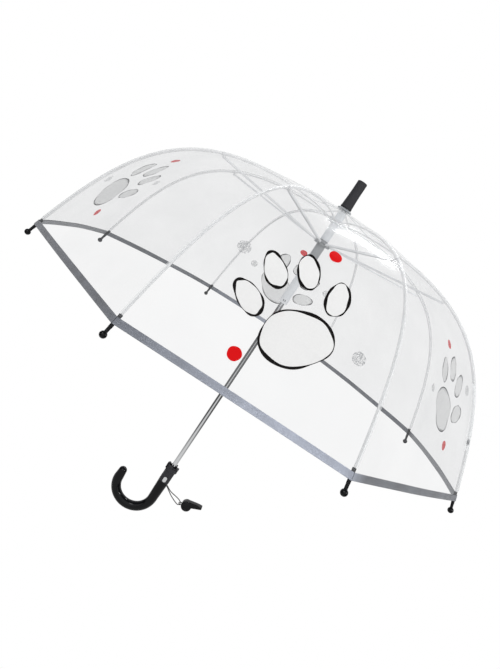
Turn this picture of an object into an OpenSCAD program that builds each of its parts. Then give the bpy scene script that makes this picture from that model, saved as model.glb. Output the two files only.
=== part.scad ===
// Children's dome umbrella: clear film canopy on eight ribs, sliding runner, crook handle.
// Frame: origin on the shaft's axis at the top of the handle's collar, +Z along the shaft
// to the ferrule, -Y towards the middle of the front panel, -X towards the crook's free end.

/* [Canopy] */
// Length of a rib along its curve, from the notch pivot to the hem corner
rib_length = 482; // [460:1:500]
// How far a rib's end has turned down from level
rib_drop = 72; // [68:0.5:75]
// Length along the rib at which it bends most
rib_bend_at = 250; // [235:1:262]
// Length over which the rib's bend spreads
rib_bend_spread = 62.5; // [55:0.5:70]
// Diameter of a rib's rod
rib_d = 2.8; // [2:0.1:3]
// Thickness of the film as a solid
film_t = 0.5; // [0.4:0.1:0.6]
// Thickness of the hem with its woven binding
hem_t = 1.2; // [0.9:0.1:1.6]
// Width of the woven binding along the hem
hem_w = 8.5; // [6:0.5:14]
// How far a panel's rim bows out past its straight chord
rim_bulge = 6; // [2:0.5:8]
// Height of the canopy's peak over the notch pivot
peak_rise = 20.5; // [19:0.5:26]

/* [Shaft] */
// Height of the notch pivot over the collar's top
notch_z = 482; // [470:1:500]
// Distance from the runner's neck out to the wire rings that the ribs and stretchers turn on
pivot_out = 4; // [3.8:0.1:4.6]
// Diameter of the shaft's tube
shaft_d = 8; // [7:0.5:9]
// Wall of the shaft's tube
shaft_wall = 0.5; // [0.4:0.1:0.8]
// Length of the ferrule cap
cap_h = 46.5; // [36:0.5:55]
// Diameter of the ferrule cap's straight end
cap_d = 16; // [14:0.5:18]

/* [Linkage] */
// Length along the rib from the notch pivot to the stretcher's clip
clip_at = 195; // [188:1:200]
// Distance from the rib's centreline to the stretcher's pin
pin_drop = 4; // [3.8:0.1:4.6]
// Diameter of the stretcher's rivet
rivet_d = 1.5; // [1.2:0.1:1.8]
// Width of a stretcher's channel
channel_w = 4; // [3.6:0.1:4.6]
// Height of a stretcher's channel
channel_h = 2.7; // [2.4:0.1:2.8]
// Diameter of the wire rings
wire_d = 1; // [0.8:0.1:1.2]
// Angle between a folded rib and the shaft
closed_angle = 4; // [3.5:0.1:5]

/* [Runner] */
// Room for the button's latch between the shaft and the runner's sleeve
latch_room = 2.3; // [2.2:0.1:2.6]
// Wall of the runner's sleeve
sleeve_wall = 0.7; // [0.6:0.05:0.8]
// Length of the runner's moulded body under its pivot
runner_below = 32; // [25:1:40]
// Width of a slotted crown outside its wire ring's centreline
crown_rim = 2.5; // [2.2:0.1:3.5]

/* [Handle] */
// Wall of the collar's socket
collar_wall = 1.9; // [1.6:0.1:2.4]
// Diameter of the crook's tube
crook_d = 16.4; // [15:0.1:17]
// Radius of the crook's bend at its centreline
crook_r = 34; // [28:1:40]
// Length of the straight handle from the collar's top to the bend
grip_length = 68; // [62:1:80]
// Depth of the collar's socket for the runner's neck
socket_depth = 14; // [13:0.5:16]
// Travel of the push button
button_travel = 1.1; // [0.8:0.1:1.2]

/* [Tips] */
// Diameter of the ball on a rib's tip
ball_d = 8.3; // [7:0.1:10]
// Distance from the hem corner to the ball's centre
ball_out = 13.6; // [11:0.1:16]

/* [Whistle] */
// Diameter of the whistle's chamber
whistle_d = 18; // [16:0.5:20]
// Width of the whistle
whistle_w = 13; // [11:0.5:16]
// Diameter of the whistle's cord
whistle_cord_d = 1.6; // [1.2:0.1:1.8]

/* [Fits] */
// Radial clearance of running fits
run_gap = 0.1; // [0.05:0.01:0.1]
// Radial clearance between pieces that are fixed together
seat_gap = 0.05; // [0.02:0.01:0.05]
// Side clearance between moving pieces
side_gap = 0.2; // [0.15:0.05:0.3]

/* [Hidden] */
$fn = 48;
rib_count = 8;
gore = 360 / rib_count;
first_rib = -90 - gore / 2;
plastic_black = "#17181a";
film_clear = "#e9eef0";
neck_d = shaft_d + 2 * (latch_room + sleeve_wall);
pivot_r = neck_d / 2 + pivot_out;
crown_d = 2 * (pivot_r + crown_rim);
shaft_bore = shaft_d - 2 * shaft_wall;
seat_bore = shaft_d + 2 * seat_gap;
slide_bore = shaft_d + 2 * run_gap;

// --- Rib curve: the angle below level at a length s along the rib, and its integral ---
arch_angle = 16;
arch_length = 36.8;
curve_step = 5;
function rib_angle(s) = rib_drop / (1 + exp((rib_bend_at - s) / rib_bend_spread))
    - arch_angle * exp(-s / arch_length);
function sum(v, i = 0) = i < len(v) ? v[i] + sum(v, i + 1) : v[0] * 0;
function rib_point(s) =
    let (n = max(1, ceil(s / curve_step)), d = s / n)
    [pivot_r, notch_z] + d * sum([for (i = [0 : n - 1])
        [cos(rib_angle((i + 0.5) * d)), -sin(rib_angle((i + 0.5) * d))]]);
function rib_normal(s) = [sin(rib_angle(s)), cos(rib_angle(s))];
function rib_azimuth(k) = first_rib + (k - 1) * gore;

// --- Linkage: clip pin, runner pivot and the turn from open to folded ---
joint_pin = rib_point(clip_at) - pin_drop * rib_normal(clip_at);
runner_z = 2 * joint_pin[1] - notch_z;
arm = norm(joint_pin - [pivot_r, notch_z]);
arm_slope = atan2(notch_z - joint_pin[1], joint_pin[0] - pivot_r);
runner_travel = runner_z - notch_z + 2 * arm * cos(closed_angle);
flex_after_clip = 4.5;
flex_at = clip_at + flex_after_clip;
rod_end_gap = 0.7;
eye_r = 1.9;
eye_t = 1.6;
tongue_l = 5;
clip_wall = 0.4;
clip_back = 4;
clip_front = 3.3;
clip_tongue_t = 2.0;
channel_wall = 0.5;
wire_bore_r = wire_d / 2 + run_gap;
rivet_bore_r = rivet_d / 2 + seat_gap;
slot_w = eye_t + 2 * side_gap + 0.2;
slot_floor_r = pivot_r - eye_r - 0.4;

// --- Canopy film ---
film_lift = rib_d / 2 + 1.1;
film_hole_r = shaft_d / 2 + 1.2;
crown_end = 90;
crown_rows = 6;
skirt_rows = 14;
gore_cols = 4;
rib_plane_gap = 0.25;
hem_start = rib_length - hem_w;
peak_z = notch_z + peak_rise;
crown_edge = rib_point(crown_end) + film_lift * rib_normal(crown_end);
function crown_point(t) = [film_hole_r + (crown_edge[0] - film_hole_r) * t,
    crown_edge[1] + (peak_z - crown_edge[1]) * pow(1 - t, 1.5)];
function film_edge(s) = s < crown_end ? crown_point(s / crown_end)
    : rib_point(s) + film_lift * rib_normal(s);
function film_angle(s) = s < crown_end ? 8 * (1 - s / crown_end) + rib_angle(crown_end)
    : rib_angle(s);
// A point on gore k at length s, share v across it, and distance out from its inner face
function gore_point(k, s, v, out) =
    let (mid = rib_azimuth(k) + gore / 2, e = film_edge(s), a = film_angle(s),
        half = e[0] * sin(gore / 2) - rib_plane_gap / cos(gore / 2),
        bow = rim_bulge * pow(s / rib_length, 2) * 4 * v * (1 - v),
        r = e[0] * cos(gore / 2) + (bow + out) * sin(a), q = (2 * v - 1) * half)
    [r * cos(mid) - q * sin(mid), r * sin(mid) + q * cos(mid), e[1] + (bow + out) * cos(a)];
film_rows = concat([for (i = [0 : crown_rows - 1]) crown_end * i / crown_rows],
    [for (i = [0 : skirt_rows]) crown_end + (hem_start - 1 - crown_end) * i / skirt_rows],
    [hem_start, rib_length - hem_w / 2, rib_length]);
function film_thickness(s) = s >= hem_start ? hem_t : film_t;

// --- Handle, latch and button ---
collar_h = 30;
socket_gap = 0.3;
grip_d = neck_d + 2 * (socket_gap + collar_wall);
flange_d = grip_d + 3.6;
flange_h = 8;
shaft_foot = grip_length - 8;
cap_z = peak_z + 5;
cap_bore = 34;
button_z = -23;
button_w = 6;
button_h = 10;
button_out = 1.9;
latch_y = shaft_d / 2 + button_travel + run_gap;
latch_t = 0.8;
latch_w = 3;
latch_top = -5;
latch_foot = -27;
tooth_z = -8;
tooth_h = 2;
tooth_out = neck_d / 2 - run_gap;
cord_exit_z = -34.5;
cord_hole_r = 2.1;

// --- Runner, spring ---
sleeve_foot = runner_travel - socket_depth + 2;
sleeve_joint_z = runner_z - runner_below;
sleeve_plug_d = neck_d - 2 * sleeve_wall;
sleeve_plug_l = 7;
pin_z = runner_z - 8;
pin_guide_h = 6;
slot_run = runner_travel + 6;
shaft_slot_w = 1.8;
runner_pin_d = 1.4;
spring_foot = 20;
spring_turns = 18;
spring_wire = 0.9;
spring_d = shaft_bore - spring_wire - 0.7;

// --- Whistle on its cord ---
whistle_at = [55.5, 0, -45.6];
whistle_tilt = -12;
lug_at = [-11, 0, -1];
cord_points = [
    [9.3, 1, -35], [14, 1, -37.8], [19, 1, -40.4], [24, 1.2, -41.8], [30, 1.6, -43],
    [36, 1.8, -44.2], [41, 2.2, -46], [44.2, 2.2, -48], [44.9, 0, -49.2], [44.2, -2.2, -50.8],
    [41.5, -2.2, -52.2], [37.5, -1.8, -51.4], [33, -1.6, -49.6], [28.5, -1.4, -47.6],
    [24, -1.2, -45.4], [19, -1, -42.2], [14, -1, -38.8], [9.3, -1, -35.4]];

// --- Sweeps: rings of a round section along a list of points ---
function unit(v) = v / norm(v);
function path_way(p, i) = unit(p[min(i + 1, len(p) - 1)] - p[max(i - 1, 0)]);
function ring(p, i, r, sides, up) =
    let (w = path_way(p, i), a = unit(cross(w, up)), b = cross(w, a))
    [for (j = [0 : sides - 1]) p[i] + r * (cos(360 * j / sides) * a + sin(360 * j / sides) * b)];
module sweep(p, r, sides, up = [0, 1, 0]) {
    n = len(p);
    polyhedron(
        [for (i = [0 : n - 1]) each ring(p, i, r, sides, up)],
        concat([[for (j = [0 : sides - 1]) j]],
            [for (i = [0 : n - 2], j = [0 : sides - 1])
                let (a = i * sides, b = (i + 1) * sides, h = (j + 1) % sides)
                each [[a + j, b + j, b + h], [a + j, b + h, a + h]]],
            [[for (j = [sides - 1 : -1 : 0]) (n - 1) * sides + j]]));
}

// Places children at length s of rib k: +X along the rib to its tip, +Z out of the canopy
module at_rib(k, s) {
    p = rib_point(s);
    rotate([0, 0, rib_azimuth(k)])
        translate([p[0], 0, p[1]])
            rotate([0, rib_angle(s), 0])
                children();
}

// A cylinder across the rib's plane, centred
module cross_pin(d, l) {
    rotate([90, 0, 0]) cylinder(d = d, h = l, center = true);
}

// A cylinder between two distances along +X
module rod_x(d, from, to) {
    translate([from, 0, 0]) rotate([0, 90, 0]) cylinder(d = d, h = to - from);
}

// --- Shaft and top ---
module shaft_tube() {
    color("silver") difference() {
        translate([0, 0, -shaft_foot]) cylinder(d = shaft_d, h = shaft_foot + cap_z + cap_bore - 1);
        translate([0, 0, -shaft_foot - 1])
            cylinder(d = shaft_bore, h = shaft_foot + cap_z + cap_bore + 1);
        translate([-shaft_slot_w / 2, 0, pin_z + pin_guide_h / 2 - slot_run])
            cube([shaft_slot_w, shaft_d, slot_run]);
    }
}

module ferrule_cap() {
    straight_h = 20;
    base_h = 2.5;
    edge_r = 1.5;
    color(plastic_black) translate([0, 0, cap_z]) difference() {
        rotate_extrude($fn = 64) difference() {
            union() {
                square([cap_d / 2 + 1.3, base_h]);
                translate([0, base_h]) polygon([[0, 0], [cap_d / 2 + 0.9, 0],
                    [cap_d / 2, cap_h - straight_h - base_h], [0, cap_h - straight_h - base_h]]);
                translate([0, cap_h - straight_h]) square([cap_d / 2, straight_h - edge_r]);
                translate([0, cap_h - edge_r]) square([cap_d / 2 - edge_r, edge_r]);
                translate([cap_d / 2 - edge_r, cap_h - edge_r]) circle(r = edge_r, $fn = 32);
            }
            translate([-2 * edge_r, -1]) square([2 * edge_r, cap_h + 2]);
        }
        translate([0, 0, -1]) cylinder(d = seat_bore, h = cap_bore + 1);
    }
}

module rosette() {
    rosette_d = 23;
    rim_t = 1.6;
    color("#c9ced2") difference() {
        translate([0, 0, peak_z + film_t + 0.1]) union() {
            cylinder(d = rosette_d, h = rim_t, $fn = 64);
            translate([0, 0, rim_t])
                cylinder(d1 = rosette_d, d2 = cap_d + 3, h = cap_z - peak_z - film_t - 0.2 - rim_t);
        }
        cylinder(d = seat_bore, h = cap_z + 1);
    }
}

// A crown with a slot and a groove for the wire ring at each rib; z is the pivot's height
module slotted_crown(z, above, below, bore_d) {
    difference() {
        translate([0, 0, z - below]) cylinder(d = crown_d, h = above + below, $fn = 64);
        translate([0, 0, z - below - 1]) cylinder(d = bore_d, h = above + below + 2);
        for (k = [1 : rib_count])
            rotate([0, 0, rib_azimuth(k)])
                translate([slot_floor_r, -slot_w / 2, z - below - 1])
                    cube([crown_d, slot_w, above + below + 2]);
        translate([0, 0, z - wire_bore_r])
            difference() {
                cylinder(d = crown_d + 2, h = 2 * wire_bore_r, $fn = 64);
                translate([0, 0, -1])
                    cylinder(r = pivot_r - wire_bore_r, h = 2 * wire_bore_r + 2, $fn = 64);
            }
    }
}

module wire_ring(z) {
    translate([0, 0, z]) rotate_extrude($fn = 96) translate([pivot_r, 0]) circle(d = wire_d, $fn = 24);
}

module top_notch() {
    neck_top = peak_z - 3;
    neck_foot = runner_z + 5.5;
    color("#d8dadb") union() {
        slotted_crown(notch_z, 4, 3, seat_bore);
        difference() {
            translate([0, 0, neck_foot]) cylinder(d = neck_d, h = neck_top - neck_foot);
            translate([0, 0, neck_foot - 1])
                cylinder(d = seat_bore, h = neck_top - neck_foot + 2);
        }
    }
}

module notch_wire() {
    color("silver") wire_ring(notch_z);
}

module main_spring() {
    steps = 9;
    under_pin = pin_guide_h / 2 + 1.5;
    rise = pin_z - under_pin - spring_foot - spring_wire;
    turn_points = [for (i = [0 : spring_turns * steps])
        [spring_d / 2 * cos(360 * i / steps), spring_d / 2 * sin(360 * i / steps),
            spring_foot + spring_wire / 2 + rise * i / (spring_turns * steps)]];
    color("gray") sweep(turn_points, spring_wire / 2, 6, [0, 0, 1]);
}

// --- Handle ---
module button_outline(grow) {
    for (side = [-1, 1])
        translate([0, 0, side * (button_h - button_w) / 2])
            rotate([90, 0, 0]) cylinder(d = button_w + 2 * grow, h = grip_d / 2 + button_out);
    translate([-button_w / 2 - grow, -grip_d / 2 - button_out, -(button_h - button_w) / 2])
        cube([button_w + 2 * grow, grip_d / 2 + button_out, button_h - button_w]);
}

// The space that the latch strip sweeps, from its rest place to the pressed one
module latch_space() {
    translate([-latch_w / 2 - side_gap, -latch_y - latch_t - 0.3, latch_foot - side_gap])
        cube([latch_w + 2 * side_gap, latch_t + 0.3 + latch_y, latch_top + 1 - latch_foot]);
}

module handle_collar() {
    lug_w = 7;
    lug_h = 2.2;
    socket_d = neck_d + 2 * socket_gap;
    color(plastic_black) difference() {
        union() {
            translate([0, 0, -collar_h]) cylinder(d = grip_d, h = collar_h, $fn = 64);
            translate([0, 0, -flange_h]) cylinder(d = flange_d, h = flange_h - 1.5, $fn = 64);
            for (a = [-18, 72, 162, 252])
                rotate([0, 0, a]) translate([grip_d / 2 - 1.8, -lug_w / 2, -1.6])
                    cube([3.2, lug_w, lug_h + 1.6]);
        }
        translate([0, 0, -socket_depth]) cylinder(d = socket_d, h = socket_depth + lug_h + 1);
        translate([0, 0, -collar_h - 1]) cylinder(d = seat_bore, h = collar_h + 1);
        rotate([0, 0, 207]) translate([grip_d / 2 - 0.6, -2.5, -flange_h - 1])
            cube([flange_d, 5, flange_h + 1]);
        latch_space();
        difference() {
            translate([0, 0, button_z]) button_outline(run_gap);
            translate([-grip_d, -latch_y + button_travel + side_gap, -collar_h])
                cube([2 * grip_d, grip_d, collar_h]);
        }
    }
}

module handle_crook() {
    end_d = 14;
    end_rise = 13;
    color(plastic_black) difference() {
        union() {
            translate([0, 0, -grip_length])
                cylinder(d1 = crook_d, d2 = grip_d, h = grip_length - collar_h, $fn = 64);
            translate([-crook_r, 0, -grip_length]) rotate([90, 0, 0])
                rotate([0, 0, 180]) rotate_extrude(angle = 180, $fn = 96)
                    translate([crook_r, 0]) circle(d = crook_d, $fn = 64);
            translate([-2 * crook_r, 0, -grip_length])
                cylinder(d1 = crook_d, d2 = end_d, h = end_rise, $fn = 64);
            translate([-2 * crook_r, 0, -grip_length + end_rise]) sphere(d = end_d, $fn = 64);
        }
        translate([0, 0, -shaft_foot - 1]) cylinder(d = seat_bore, h = shaft_foot);
        translate([shaft_d / 2 + 1.5, 0, cord_exit_z - 0.7])
            rotate([0, 90, 0]) cylinder(r = cord_hole_r, h = grip_d);
    }
}

module push_button() {
    color("silver") difference() {
        translate([0, 0, button_z]) button_outline(0);
        translate([-grip_d, -latch_y - latch_t, -collar_h - 1]) cube([2 * grip_d, grip_d, collar_h + 2]);
    }
}

module latch() {
    color("gray") union() {
        translate([-latch_w / 2, -latch_y - latch_t, latch_foot])
            cube([latch_w, latch_t, latch_top - latch_foot]);
        translate([-latch_w / 2, -tooth_out, tooth_z])
            cube([latch_w, tooth_out - latch_y, tooth_h]);
    }
}

// --- Runner ---
module runner_body() {
    top_rise = 5;
    color("#2b2d2f") difference() {
        union() {
            slotted_crown(runner_z, 2, 3, slide_bore);
            translate([0, 0, sleeve_joint_z + seat_gap])
                cylinder(d = neck_d + 1, h = runner_below - 2 - seat_gap);
            translate([0, 0, runner_z - 3]) cylinder(d = neck_d, h = top_rise + 3);
        }
        translate([0, 0, sleeve_joint_z - 1]) cylinder(d = slide_bore, h = runner_below + top_rise + 2);
        translate([0, 0, pin_z]) rotate([-90, 0, 0])
            cylinder(d = runner_pin_d + 2 * seat_gap, h = neck_d);
        translate([0, 0, sleeve_joint_z - 1])
            cylinder(d = sleeve_plug_d + 2 * seat_gap, h = sleeve_plug_l + 2);
    }
}

module runner_sleeve() {
    web_t = 2;
    window_w = latch_w + 1.4;
    window_gap = 0.4;
    color("#cfd3d6") difference() {
        union() {
            translate([0, 0, sleeve_foot]) cylinder(d = neck_d, h = sleeve_joint_z - sleeve_foot);
            translate([0, 0, sleeve_joint_z]) cylinder(d = sleeve_plug_d, h = sleeve_plug_l);
        }
        translate([0, 0, sleeve_foot - 1])
            cylinder(d = sleeve_plug_d, h = sleeve_joint_z - sleeve_foot + 1 - web_t);
        translate([0, 0, sleeve_joint_z - web_t]) cylinder(d = slide_bore, h = web_t + sleeve_plug_l + 1);
        translate([-window_w / 2, -neck_d, tooth_z - window_gap + runner_travel])
            cube([window_w, neck_d, tooth_h + 2 * window_gap]);
    }
}

module runner_wire() {
    color("silver") wire_ring(runner_z);
}

module runner_pin() {
    color("gray") union() {
        translate([0, 0, pin_z - pin_guide_h / 2])
            cylinder(d = shaft_bore - 2 * side_gap, h = pin_guide_h);
        translate([0, 0, pin_z]) rotate([-90, 0, 0]) cylinder(d = runner_pin_d, h = neck_d / 2 + 0.4);
    }
}

// --- Ribs, stretchers, tips ---
module rib_rod(k, from, to, rings) {
    p = [for (i = [0 : rings]) rib_point(from + (to - from) * i / rings)];
    rotate([0, 0, rib_azimuth(k)]) sweep([for (q = p) [q[0], 0, q[1]]], rib_d / 2, 8);
}

module rib_upper(k) {
    rivet_l = channel_w + 0.3;
    color("white") union() {
        rib_rod(k, tongue_l - 1, flex_at - rod_end_gap, 14);
        at_rib(k, 0) difference() {
            union() {
                cross_pin(2 * eye_r, eye_t);
                translate([0, -eye_t / 2, -rib_d / 2 + 0.2]) cube([tongue_l, eye_t, rib_d - 0.4]);
            }
            cross_pin(2 * wire_bore_r, 2 * eye_t);
        }
    }
    color("gainsboro") at_rib(k, clip_at) difference() {
        union() {
            rod_x(rib_d + 2 * (clip_wall + seat_gap), -clip_back, clip_front);
            translate([0, 0, -pin_drop]) cross_pin(2 * eye_r, clip_tongue_t);
            translate([-eye_r, -clip_tongue_t / 2, -pin_drop])
                cube([2 * eye_r, clip_tongue_t, pin_drop - rib_d / 2 - seat_gap - clip_wall / 4]);
        }
        rod_x(rib_d + 2 * seat_gap, -clip_back - 1, clip_front + 1);
        translate([0, 0, -pin_drop]) cross_pin(2 * rivet_bore_r, 2 * channel_w);
    }
    color("silver") at_rib(k, clip_at) translate([0, 0, -pin_drop]) union() {
        cross_pin(rivet_d, rivet_l + 1);
        for (side = [-1, 1])
            translate([0, side * (rivet_l / 2 + 0.25), 0]) cross_pin(rivet_d + 1.2, 0.5);
    }
}

module rib_lower(k) {
    color("white") rib_rod(k, flex_at + rod_end_gap, rib_length + 2, 18);
}

module stretcher(k) {
    prong_x = arm - eye_r - 1.8;
    inner_w = channel_w - 2 * channel_wall;
    color("whitesmoke") rotate([0, 0, rib_azimuth(k)]) translate([pivot_r, 0, runner_z])
        rotate([0, -arm_slope, 0]) difference() {
            union() {
                cross_pin(2 * eye_r, eye_t);
                translate([0, -eye_t / 2, -channel_h / 2]) cube([tongue_l + 6, eye_t, channel_h]);
                difference() {
                    translate([tongue_l, -channel_w / 2, -channel_h / 2])
                        cube([arm - tongue_l, channel_w, channel_h]);
                    translate([tongue_l + 5, -inner_w / 2, -channel_h])
                        cube([arm, inner_w, 1.5 * channel_h - channel_wall]);
                    translate([prong_x, -inner_w / 2, -channel_h])
                        cube([arm, inner_w, 2 * channel_h]);
                }
                for (side = [-1, 1])
                    translate([arm, side * (channel_w - channel_wall) / 2, 0])
                        cross_pin(channel_h, channel_wall);
            }
            cross_pin(2 * wire_bore_r, 2 * eye_t);
            translate([arm, 0, 0]) cross_pin(2 * rivet_bore_r, 2 * channel_w);
        }
}

module tip(k) {
    sleeve_back = 13;
    sleeve_front = 4;
    stem_d = 4;
    color(plastic_black) at_rib(k, rib_length) difference() {
        union() {
            rod_x(rib_d + 1.6, -sleeve_back, sleeve_front);
            rod_x(stem_d, sleeve_front - 1, ball_out);
            translate([ball_out, 0, 0]) sphere(d = ball_d, $fn = 40);
        }
        rod_x(rib_d + 4 * seat_gap, -sleeve_back - 1, 2.5);
    }
}

// --- Canopy: a closed sheet over rows s and falling shares v of gore k ---
module gore_sheet(k, rows, shares, lift, thick) {
    n = len(rows);
    m = len(shares);
    inner = [for (s = rows, v = shares) gore_point(k, s, v, lift)];
    outer = [for (i = [0 : n - 1], v = shares) gore_point(k, rows[i], v, lift + thick[i])];
    o = n * m;
    polyhedron(concat(inner, outer), concat(
        [for (i = [0 : n - 2], j = [0 : m - 2]) each
            [[i * m + j, i * m + j + 1, (i + 1) * m + j],
                [(i + 1) * m + j, i * m + j + 1, (i + 1) * m + j + 1]]],
        [for (i = [0 : n - 2], j = [0 : m - 2]) each
            [[o + i * m + j, o + (i + 1) * m + j, o + i * m + j + 1],
                [o + (i + 1) * m + j, o + (i + 1) * m + j + 1, o + i * m + j + 1]]],
        [for (i = [0 : n - 2]) each
            [[i * m, (i + 1) * m, o + (i + 1) * m, o + i * m],
                [i * m + m - 1, o + i * m + m - 1, o + (i + 1) * m + m - 1, (i + 1) * m + m - 1]]],
        [for (j = [0 : m - 2]) each
            [[j, o + j, o + j + 1, j + 1],
                [(n - 1) * m + j, (n - 1) * m + j + 1, o + (n - 1) * m + j + 1, o + (n - 1) * m + j]]]));
}

module panel(k) {
    color(film_clear, 0.3)
        gore_sheet(k, film_rows, [for (j = [gore_cols : -1 : 0]) j / gore_cols], 0,
            [for (s = film_rows) film_thickness(s)]);
}

strap_rib = 3;
strap_from_hem = 160;
strap_from = rib_length - strap_from_hem;
strap_length = 90;
strap_rows = [for (i = [0 : 6]) strap_from + strap_length * i / 6];
strap_share = 0.085;
strap_gap = 0.01;
strap_lift = film_t + 0.3;
strap_t = 0.6;

module closing_strap() {
    color(film_clear, 0.5)
        gore_sheet(strap_rib - 1, strap_rows, [1 - strap_gap, 1 - strap_share / 2, 1 - strap_share],
            strap_lift, [for (s = strap_rows) strap_t]);
}

module strap_snap() {
    s = strap_from + strap_length - 12;
    v = 1 - (strap_share + strap_gap) / 2;
    color("#8d9298") translate(gore_point(strap_rib - 1, s, v, strap_lift + strap_t + 0.25))
        rotate([0, rib_angle(s), rib_azimuth(strap_rib - 1) + gore / 2])
            union() {
                cylinder(d = 8, h = 0.8);
                cylinder(d = 4, h = 1.6);
            }
}

// --- Whistle ---
module whistle_cord() {
    color(plastic_black) sweep(cord_points, whistle_cord_d / 2, 8, [0.1, 0.2, 1]);
}

module at_whistle() {
    translate(whistle_at) rotate([0, whistle_tilt, 0]) children();
}

module whistle_body() {
    wall = 1.4;
    mouth_l = 26;
    mouth_h = 6.4;
    lug_d = 6.4;
    lug_bore_d = 3.6;
    color(plastic_black) at_whistle() difference() {
        union() {
            cross_pin(whistle_d, whistle_w);
            translate([0, -whistle_w / 2, whistle_d / 2 - mouth_h]) cube([mouth_l, whistle_w, mouth_h]);
            translate(lug_at) cross_pin(lug_d, 2);
            translate([lug_at[0], -1, lug_at[2] - 2]) cube([-lug_at[0] - whistle_d / 2 + wall, 2, 4]);
        }
        cross_pin(whistle_d - 2 * wall, whistle_w - 2 * wall);
        translate([0, -whistle_w / 2 + wall, whistle_d / 2 - mouth_h + wall])
            cube([mouth_l + 1, whistle_w - 2 * wall, mouth_h - 2 * wall]);
        translate([whistle_d / 2 - 2, -whistle_w / 2 + wall, whistle_d / 2 - mouth_h + wall])
            cube([4, whistle_w - 2 * wall, mouth_h]);
        translate(lug_at) cross_pin(lug_bore_d, 4);
    }
}

module whistle_ball() {
    ball = 7;
    color("tan") translate(whistle_at - [0, 0, whistle_d / 2 - 1.7 - ball / 2]) sphere(d = ball);
}

shaft_tube();
ferrule_cap();
rosette();
top_notch();
notch_wire();
main_spring();
handle_collar();
handle_crook();
push_button();
latch();
runner_body();
runner_sleeve();
runner_wire();
runner_pin();
for (k = [1 : rib_count]) {
    rib_upper(k);
    rib_lower(k);
    stretcher(k);
    tip(k);
    panel(k);
}
closing_strap();
strap_snap();
whistle_cord();
whistle_body();
whistle_ball();
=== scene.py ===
"""Children's dome umbrella: clear film canopy, printed paw marks, grey woven hem, black crook handle.

Every length is in metres in the part's own frame: origin at the top of the handle's collar,
+Z along the shaft to the ferrule, -Y towards the middle of the front panel.
"""

import logging
import math
from dataclasses import dataclass, field
from enum import Enum
from typing import ClassVar, Sequence

import bpy
import numpy as np
from mathutils import Matrix, Vector


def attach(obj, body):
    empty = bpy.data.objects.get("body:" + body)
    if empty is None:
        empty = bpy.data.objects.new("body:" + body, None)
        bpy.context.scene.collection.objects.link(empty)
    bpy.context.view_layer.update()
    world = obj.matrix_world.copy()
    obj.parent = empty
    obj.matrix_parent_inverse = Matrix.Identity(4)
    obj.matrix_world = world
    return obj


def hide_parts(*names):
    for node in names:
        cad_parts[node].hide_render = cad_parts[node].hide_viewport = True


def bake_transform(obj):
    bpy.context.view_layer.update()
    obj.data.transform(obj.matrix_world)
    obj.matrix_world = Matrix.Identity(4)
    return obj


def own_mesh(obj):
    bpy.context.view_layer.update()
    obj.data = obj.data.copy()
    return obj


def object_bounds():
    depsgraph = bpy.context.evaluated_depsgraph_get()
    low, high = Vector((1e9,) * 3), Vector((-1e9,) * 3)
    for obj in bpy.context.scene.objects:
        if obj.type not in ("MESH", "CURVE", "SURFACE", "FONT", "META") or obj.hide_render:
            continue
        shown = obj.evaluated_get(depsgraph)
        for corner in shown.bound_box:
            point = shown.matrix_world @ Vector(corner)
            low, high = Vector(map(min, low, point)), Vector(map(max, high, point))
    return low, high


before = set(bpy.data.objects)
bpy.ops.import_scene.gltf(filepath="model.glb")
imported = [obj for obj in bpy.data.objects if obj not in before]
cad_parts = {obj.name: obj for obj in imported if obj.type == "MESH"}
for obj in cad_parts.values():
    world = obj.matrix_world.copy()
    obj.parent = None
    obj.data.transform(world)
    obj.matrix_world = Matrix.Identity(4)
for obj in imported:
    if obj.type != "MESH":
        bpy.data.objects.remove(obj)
CAD_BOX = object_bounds()

LOG = logging.getLogger("umbrella")
MM = 0.001
PINPOINT = 0.01 * MM
RIBS = 8
GORE = 2 * math.pi / RIBS
FIRST_RIB = -math.pi / 2 - GORE / 2
Array = np.ndarray
Colour = tuple[float, float, float]


# --------------------------------------------------------------------------------------
# Meshes from grids
# --------------------------------------------------------------------------------------


def add_grid(
    name: str,
    points: Array,
    uv: Array | None = None,
    wrap_rows: bool = False,
    wrap_cols: bool = False,
    flip: bool = False,
) -> bpy.types.Object:
    """Make a mesh from an n by m grid of points: each cell is one quad.

    Args:
        name: the piece's name.
        points: array (n, m, 3), in metres.
        uv: array (n, m, 2) of surface lengths, or None.
        wrap_rows: join the last row to the first.
        wrap_cols: join the last column to the first.
        flip: turn the faces over.

    Returns:
        The new object, smooth shaded, at the origin.
    """
    n, m = points.shape[:2]
    i = np.arange(n if wrap_rows else n - 1)[:, None]
    j = np.arange(m if wrap_cols else m - 1)[None, :]
    i2, j2 = (i + 1) % n, (j + 1) % m
    quads = np.stack([i * m + j, i * m + j2, i2 * m + j2, i2 * m + j], -1).reshape(-1, 4)
    if flip:
        quads = quads[:, ::-1]
    flat_uv = None if uv is None else uv.reshape(-1, 2)
    return add_mesh(name, points.reshape(-1, 3), quads, flat_uv)


def add_mesh(
    name: str, points: Array, faces: Array | list, uv: Array | None = None
) -> bpy.types.Object:
    """Make a smooth mesh object from points and faces.

    Args:
        name: the piece's name.
        points: array (n, 3), in metres.
        faces: rows of point numbers.
        uv: array (n, 2), one for each point, or None.

    Returns:
        The new object, at the origin.
    """
    mesh = bpy.data.meshes.new(name)
    mesh.from_pydata(points.tolist(), [], np.asarray(faces).tolist())
    if uv is not None:
        corner = np.empty(len(mesh.loops), dtype=np.int32)
        mesh.loops.foreach_get("vertex_index", corner)
        layer = mesh.uv_layers.new(name="surface")
        layer.data.foreach_set("uv", uv[corner].astype(np.float32).ravel())
    mesh.shade_smooth()
    piece = bpy.data.objects.new(name, mesh)
    bpy.context.scene.collection.objects.link(piece)
    return piece


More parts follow.
